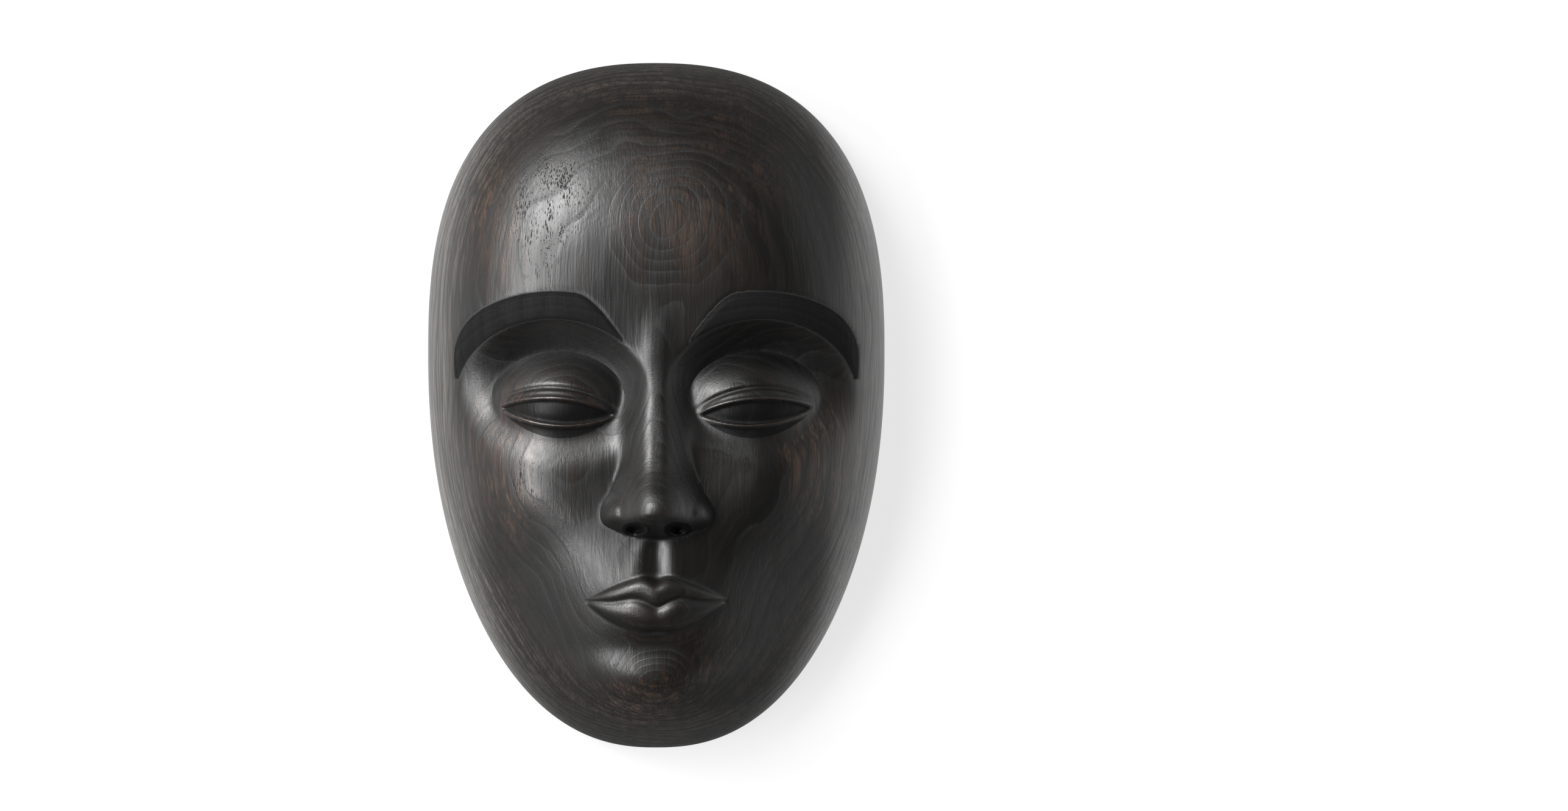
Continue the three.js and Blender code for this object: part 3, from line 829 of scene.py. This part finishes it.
def mixed(tree, share, a, b, blend="MIX"):
    made = tree.nodes.new("ShaderNodeMix")
    made.data_type = "RGBA"
    made.blend_type = blend
    for index, value in ((0, share), (6, a), (7, b)):
        if isinstance(value, bpy.types.NodeSocket):
            tree.links.new(value, made.inputs[index])
        else:
            made.inputs[index].default_value = value
    return made.outputs[2]


def attribute(tree, name):
    return add_node(tree, "ShaderNodeAttribute", attribute_name=name).outputs["Fac"]


def group_with(name, inputs, outputs):
    tree = bpy.data.node_groups.new(name, "ShaderNodeTree")
    for label, value in inputs.items():
        socket = tree.interface.new_socket(label, in_out="INPUT", socket_type="NodeSocketFloat")
        socket.default_value = value
    for label in outputs:
        tree.interface.new_socket(label, in_out="OUTPUT", socket_type="NodeSocketFloat")
    return tree, tree.nodes.new("NodeGroupInput").outputs, tree.nodes.new("NodeGroupOutput").inputs


def pore_dashes(tree, mm, scale, size, spread_size):
    """Short open dashes along the grain; the size is a share of the cell that each dash stands in."""
    cells = add_node(tree, "ShaderNodeTexVoronoi", {"Vector": scaled(tree, mm, scale), "Scale": 1.0})
    reach = times(tree, spread_size, size)
    return ramp(tree, maths(tree, "SUBTRACT", reach, cells.outputs["Distance"]), 0, PORE_EDGE)


def oval_distance(tree, mm, oval):
    """Distance from the oval's middle over the face, 1 at its edge."""
    size = (1 / oval.half_width, 1 / oval.half_height, 0)
    apart = add_node(tree, "ShaderNodeVectorMath", {0: mm, 1: (oval.x, oval.y, 0)}, operation="SUBTRACT")
    share = add_node(tree, "ShaderNodeVectorMath", {0: apart.outputs["Vector"], 1: size},
                     operation="MULTIPLY")
    away = add_node(tree, "ShaderNodeVectorMath", {0: share.outputs["Vector"]}, operation="LENGTH")
    return away.outputs["Value"]


def in_ovals(tree, mm, ovals, ragged, least):
    """Strength of the oval patch that a place lies in, with ragged edges, or the least strength."""
    for oval in ovals:
        away = plus(tree, oval_distance(tree, mm, oval), ragged)
        here = ramp(tree, away, PATCH_EDGE.gone, PATCH_EDGE.full, 0.0, oval.strength)
        least = maths(tree, "MAXIMUM", least, here)
    return least


def growth_layers(tree, mm):
    """Layers that lie flat behind the face: they show as rings on swells and as lines on the sides."""
    sway = noise(tree, scaled(tree, mm, (1.0, 0.6, 1.0)), 0.02, 2.0)
    ragged = noise(tree, scaled(tree, mm, (0.9, 0.3, 0.9)), 1.0, 2.0)
    depth = add_node(tree, "ShaderNodeSeparateXYZ", {"Vector": mm}).outputs["Z"]
    moved = plus(tree, times(tree, sway, LAYERS.slow_sway), times(tree, ragged, LAYERS.ragged_sway))
    shifted = plus(tree, depth, moved)
    near_knot = 0.0
    for knot in KNOTS:
        away = oval_distance(tree, mm, knot)
        shifted = plus(tree, shifted, ramp(tree, away, 1.0, 0.0, 0.0, knot.height))
        near_knot = maths(tree, "MAXIMUM", near_knot, ramp(tree, away, KNOT_EDGE.gone, KNOT_EDGE.full))
    within = maths(tree, "FRACT", times(tree, shifted, LAYERS.per_mm))
    broad = times(tree, ramp(tree, within, LAYERS.broad_from, LAYERS.dark_from), 0.5)
    thin = times(tree, ramp(tree, within, LAYERS.thin_from, LAYERS.dark_from), 0.5)
    line = times(tree, plus(tree, broad, thin), ramp(tree, within, 1.0, LAYERS.dark_to))
    strength = noise(tree, scaled(tree, mm, (0.001, 0.001, LAYERS.per_mm)), 1.0, 1.0)
    clear = ramp(tree, noise(tree, mm, 0.03, 2.0), 0.3, 0.5, 0.2, 1.0)
    clear = maths(tree, "MAXIMUM", clear, near_knot)
    return times(tree, line, times(tree, clear, ramp(tree, strength, 0.3, 0.6, 0.5, 1.0)))


def hardwood_group():
    """Layers, fibres and pores of a dense dark hardwood whose grain runs from chin to brow."""
    tree, given, out = group_with("hardwood", {"Pores": 1.0, "Tooling": 1.0},
                                  ["Brown", "Layers", "Fibre", "Lines", "Pores", "Checks", "Relief"])
    link = tree.links.new
    place = add_node(tree, "ShaderNodeTexCoord").outputs["Object"]
    mm = scaled(tree, place, (1 / MM,) * 3)
    swaying = wandering(tree, mm, GRAIN.sway, GRAIN.sway_reach)
    layers = growth_layers(tree, mm)
    link(layers, out["Layers"])

    fine = noise(tree, scaled(tree, swaying, GRAIN.fine), 1.0, 4.0, 0.7)
    link(fine, out["Lines"])

    fibre = noise(tree, scaled(tree, swaying, GRAIN.fibre), 1.0, 3.0, 0.55)
    strand = noise(tree, scaled(tree, swaying, GRAIN.strand), 1.0, 3.0, 0.6)
    link(plus(tree, times(tree, fibre, 0.5), times(tree, strand, 0.5)), out["Fibre"])

    # Heartwood shows in stripes along the grain
    cloud = noise(tree, scaled(tree, mm, (1.0, 0.6, 1.0)), 0.02, 2.0, 0.5, 0.4)
    patch = ramp(tree, cloud, CLOUD.gone, CLOUD.full, 0.0, CLOUD.strength)
    ragged = noise(tree, scaled(tree, mm, (1.0, 0.4, 1.0)), 0.06, 3.0)
    ragged = times(tree, ragged, PATCH_EDGE.ragged)
    patch = in_ovals(tree, mm, HEARTWOOD, ragged, patch)
    stripe = plus(tree, times(tree, fibre, 0.55), times(tree, strand, 0.45))
    stripe = ramp(tree, stripe, STRIPE.gone, STRIPE.full, STRIPE.least, 1.0)
    link(times(tree, patch, stripe), out["Brown"])

    # Pores gather in swarms and along the growth lines
    swarm = in_ovals(tree, mm, SWARMS, ragged, 0.0)
    bunch = ramp(tree, noise(tree, scaled(tree, mm, (1.6, 0.6, 1.6)), 0.09, 2.0), 0.38, 0.62, 0.45, 1.1)
    swarm = times(tree, bunch, plus(tree, swarm, 0.2))
    coarse, small = [pore_dashes(tree, swaying, pore.grain, pore.size, swarm) for pore in PORES]
    in_layers = times(tree, ramp(tree, layers, 0.5, 0.85), swarm)
    pits = pore_dashes(tree, mm, PITS.grain, PITS.size, in_layers)
    pores = maths(tree, "MAXIMUM", maths(tree, "MAXIMUM", coarse, small), pits)
    pores = times(tree, pores, given["Pores"])
    link(pores, out["Pores"])

    # Hairline drying checks near the mouth
    wandered = wandering(tree, mm, (0.5, 0.3, 0.5), (3.0, 3.0, 0.0))
    cracks = add_node(tree, "ShaderNodeTexVoronoi", {
        "Vector": scaled(tree, wandered, CHECKS.cells), "Scale": 1.0}, feature="DISTANCE_TO_EDGE")
    open_here = ramp(tree, noise(tree, mm, 0.05, 1.0), 0.55, 0.62)
    checks = times(tree, ramp(tree, cracks.outputs["Distance"], CHECKS.gone, CHECKS.full), open_here)
    checks = times(tree, checks, attribute(tree, "dry"))
    link(checks, out["Checks"])

    # The knife left small ripples across the grain where forms are close, and smoothed the fibres there
    worked = attribute(tree, "worked")
    scraped = ramp(tree, noise(tree, mm, 0.035, 1.0), 0.4, 0.62, 0.1, 0.3)
    ripple = noise(tree, scaled(tree, mm, (0.5, 0.95, 0.5)), 1.0, 2.0, 0.45, 1.2)
    tooling = times(tree, ripple, times(tree, maths(tree, "MAXIMUM", worked, scraped), given["Tooling"]))
    calmed = ramp(tree, worked, 0.0, 1.0, 1.0, RELIEF.worked_share)
    relief = times(tree, times(tree, fibre, RELIEF.fibre), calmed)
    for part, height in ((strand, RELIEF.strand), (fine, RELIEF.fine), (tooling, RELIEF.tooling)):
        relief = plus(tree, relief, times(tree, part, height))
    hollows = plus(tree, times(tree, pores, RELIEF.pores), times(tree, layers, RELIEF.layers))
    link(maths(tree, "SUBTRACT", relief, hollows), out["Relief"])
    return tree


def new_material(name):
    material = bpy.data.materials.new(name)
    material.use_nodes = True
    return material, material.node_tree, material.node_tree.nodes["Principled BSDF"]


def hardwood(tree, pores, tooling):
    group = bpy.data.node_groups.get("hardwood") or hardwood_group()
    made = add_node(tree, "ShaderNodeGroup", node_tree=group)
    made.inputs["Pores"].default_value = pores
    made.inputs["Tooling"].default_value = tooling
    return made.outputs


def tinted(tree, colour, mask, share, to):
    """The colour taken a share of the way to another one where the mask is full."""
    return mixed(tree, times(tree, mask, share), colour, to)


def streaked(tree, colour, wood, streaks):
    """The colour in paler and darker streaks along the fibres and the layers."""
    low = (streaks.low, streaks.low, streaks.low, 1)
    high = (streaks.high, streaks.high, streaks.high, 1)
    for streak in (wood["Fibre"], wood["Lines"]):
        level = mixed(tree, ramp(tree, streak, 0.38, 0.62), low, high)
        colour = mixed(tree, 1.0, colour, level, "MULTIPLY")
    return colour


def add_relief(tree, shader, height):
    """Raises the surface by a height in mm."""
    bump = add_node(tree, "ShaderNodeBump", {"Height": height, "Distance": MM, "Strength": 1.0})
    tree.links.new(bump.outputs["Normal"], shader.inputs["Normal"])


def polished_wood(name, ior):
    """Waxed hardwood, with the black stain of the brows, eyes and nostrils; in the nostrils the black is
    partly painted shade.
    """
    material, tree, shader = new_material(name)
    wood = hardwood(tree, 1.0, 1.0)
    colour = mixed(tree, wood["Brown"], COLOURS.dark, COLOURS.warm)
    # Painted reflection: the sides are tinted paler, as if they mirrored the pale room
    colour = tinted(tree, colour, attribute(tree, "flank"), TINT.flank, COLOURS.pale)
    colour = streaked(tree, colour, wood, STREAKS)
    # Dark grain lines across that painted reflection on the sides
    side_line = times(tree, ramp(tree, wood["Lines"], 0.5, 0.44), attribute(tree, "flank"))
    colour = tinted(tree, colour, side_line, TINT.side_line, COLOURS.black)
    colour = tinted(tree, colour, wood["Layers"], TINT.layers, COLOURS.layer)
    colour = tinted(tree, colour, wood["Pores"], TINT.pores, COLOURS.black)
    colour = tinted(tree, colour, wood["Checks"], TINT.checks, COLOURS.black)
    # Ridges tinted lighter: worn wood, and partly a painted highlight of edges catching light
    colour = tinted(tree, colour, attribute(tree, "crest"), TINT.crest, COLOURS.rubbed)
    # Creases tinted darker: dust and wax left there, and partly painted shade
    colour = tinted(tree, colour, attribute(tree, "crease"), TINT.crease, COLOURS.black)
    # Deep places tinted towards black: painted shade in the recesses, with their unpolished patina
    colour = tinted(tree, colour, attribute(tree, "deep"), TINT.deep, COLOURS.black)
    # Stain of brows, eye slits and nostrils; in the nostrils it is partly painted shade
    stained = maths(tree, "MAXIMUM", attribute(tree, "brow"), attribute(tree, "opening"))
    colour = tinted(tree, colour, stained, TINT.stain, COLOURS.stain)

    # Fine arcs left by the knife on the brows
    bent = plus(tree, attribute(tree, "sweep"), times(tree, wood["Lines"], ARC.bend))
    arc = ramp(tree, bands(tree, bent, ARC.per_mm), ARC.gone, ARC.full)
    arc = times(tree, arc, attribute(tree, "brow"))
    colour = tinted(tree, colour, arc, TINT.arc, COLOURS.black)
    tree.links.new(colour, shader.inputs["Base Color"])
    rough = ramp(tree, wood["Fibre"], 0.35, 0.65, ROUGH.dull, ROUGH.shiny)
    rough = plus(tree, rough, times(tree, wood["Pores"], ROUGH.pores))
    rough = plus(tree, rough, times(tree, wood["Checks"], ROUGH.checks))
    rough = plus(tree, rough, times(tree, attribute(tree, "worked"), ROUGH.worked))
    rough = plus(tree, rough, times(tree, wood["Layers"], ROUGH.layers))
    rough = plus(tree, rough, times(tree, attribute(tree, "brow"), ROUGH.brow))
    rough = plus(tree, rough, times(tree, attribute(tree, "crease"), ROUGH.crease))
    rough = maths(tree, "SUBTRACT", rough, times(tree, attribute(tree, "crest"), ROUGH.crest))
    tree.links.new(rough, shader.inputs["Roughness"])
    shader.inputs["IOR"].default_value = ior
    add_relief(tree, shader, maths(tree, "SUBTRACT", wood["Relief"], times(tree, arc, RELIEF.arc)))
    return material


def raw_wood():
    """Bare wood of the hollow and the rim, as the gouge left it."""
    material, tree, shader = new_material("bare_hardwood")
    wood = hardwood(tree, 0.8, 1.5)
    colour = mixed(tree, wood["Brown"], BARE_COLOURS.plain, BARE_COLOURS.warm)
    colour = streaked(tree, colour, wood, BARE_STREAKS)
    colour = tinted(tree, colour, wood["Layers"], BARE_TINT.layers, BARE_COLOURS.layer)
    # Creases between the gouge cuts tinted darker: painted shade
    colour = tinted(tree, colour, attribute(tree, "crease"), BARE_TINT.crease, BARE_COLOURS.crease)
    colour = tinted(tree, colour, wood["Pores"], BARE_TINT.pores, BARE_COLOURS.pore)
    tree.links.new(colour, shader.inputs["Base Color"])
    tree.links.new(ramp(tree, wood["Fibre"], 0.3, 0.7, 0.8, 0.65), shader.inputs["Roughness"])
    add_relief(tree, shader, wood["Relief"])
    return material


# Floor, light and camera
def build_floor():
    """A pale glowing table; towards the ends of the mask its mirror image in the wood is dimmer."""
    bpy.ops.object.select_all(action="DESELECT")
    bpy.ops.mesh.primitive_plane_add(size=FLOOR.width, location=(0, 0, mask_low.z - FLOOR.gap))
    floor = bpy.context.object
    floor.name = "floor"
    material, tree, shader = new_material("pale_floor")
    place = add_node(tree, "ShaderNodeTexCoord").outputs["Object"]
    parts = add_node(tree, "ShaderNodeSeparateXYZ", {"Vector": place}).outputs
    along = maths(tree, "ABSOLUTE", parts["Y"])
    mirrored = add_node(tree, "ShaderNodeLightPath").outputs["Is Glossy Ray"]
    dim = times(tree, mirrored, ramp(tree, along, FLOOR.dim_from, FLOOR.dim_to, 0.0, FLOOR.dimmed))
    surface = mixed(tree, dim, (FLOOR.grey, FLOOR.grey, FLOOR.grey, 1), (0, 0, 0, 1))
    glow = mixed(tree, dim, (1, 1, 1, 1), (0, 0, 0, 1))
    tree.links.new(surface, shader.inputs["Base Color"])
    tree.links.new(glow, shader.inputs["Emission Color"])
    shader.inputs["Emission Strength"].default_value = FLOOR.glow
    shader.inputs["Roughness"].default_value = FLOOR.rough
    shader.inputs["Specular IOR Level"].default_value = 0.2
    floor.data.materials.append(material)


def build_softbox(box):
    """A far, large lamp, so that it lights the floor evenly and shows as a broad patch in the wood."""
    lamp = bpy.data.lights.new(box.name, "AREA")
    lamp.shape = "RECTANGLE"
    lamp.size, lamp.size_y = box.width, box.height
    lamp.energy = box.power
    lit = bpy.data.objects.new(box.name, lamp)
    lit.location = Vector(box.direction).normalized() * box.distance
    lit.rotation_euler = (-lit.location).to_track_quat("-Z", "Y").to_euler()
    bpy.context.scene.collection.objects.link(lit)


def build_surroundings():
    """A pale room, darker overhead where the camera stands."""
    world = bpy.data.worlds.new("studio")
    bpy.context.scene.world = world
    world.use_nodes = True
    tree = world.node_tree
    direction = add_node(tree, "ShaderNodeTexCoord").outputs["Generated"]
    parts = add_node(tree, "ShaderNodeSeparateXYZ", {"Vector": direction}).outputs
    across = maths(tree, "ABSOLUTE", parts["X"])
    sideways = ramp(tree, across, ROOM.side_from, ROOM.side_full, ROOM.ends, ROOM.sides)
    low = ramp(tree, parts["Z"], ROOM.low, ROOM.high, 1.0, 0.0)
    level = plus(tree, times(tree, sideways, low), ROOM.overhead)
    tree.links.new(level, tree.nodes["Background"].inputs["Strength"])
    tree.nodes["Background"].inputs["Color"].default_value = (1, 1, 1, 1)


def build_camera():
    distance = LENS / SENSOR * (2 * HALF_WIDTH * MM) * FRAME_WIDTH / MASK_WIDTH_PX
    camera = bpy.data.cameras.new("camera")
    camera.lens = LENS
    camera.sensor_width = SENSOR
    seen = bpy.data.objects.new("camera", camera)
    bpy.context.scene.collection.objects.link(seen)
    turn = math.atan((FRAME_WIDTH / 2 - MASK_CENTRE_PX) / FRAME_WIDTH * SENSOR / LENS)
    seen.location = (0, 0, distance)
    seen.rotation_euler = (0, -turn, 0)
    bpy.context.scene.camera = seen
    bpy.context.scene.view_settings.view_transform = "Standard"


build_camera()
build_mask()
build_floor()
for box in SOFTBOXES:
    build_softbox(box)
build_surroundings()
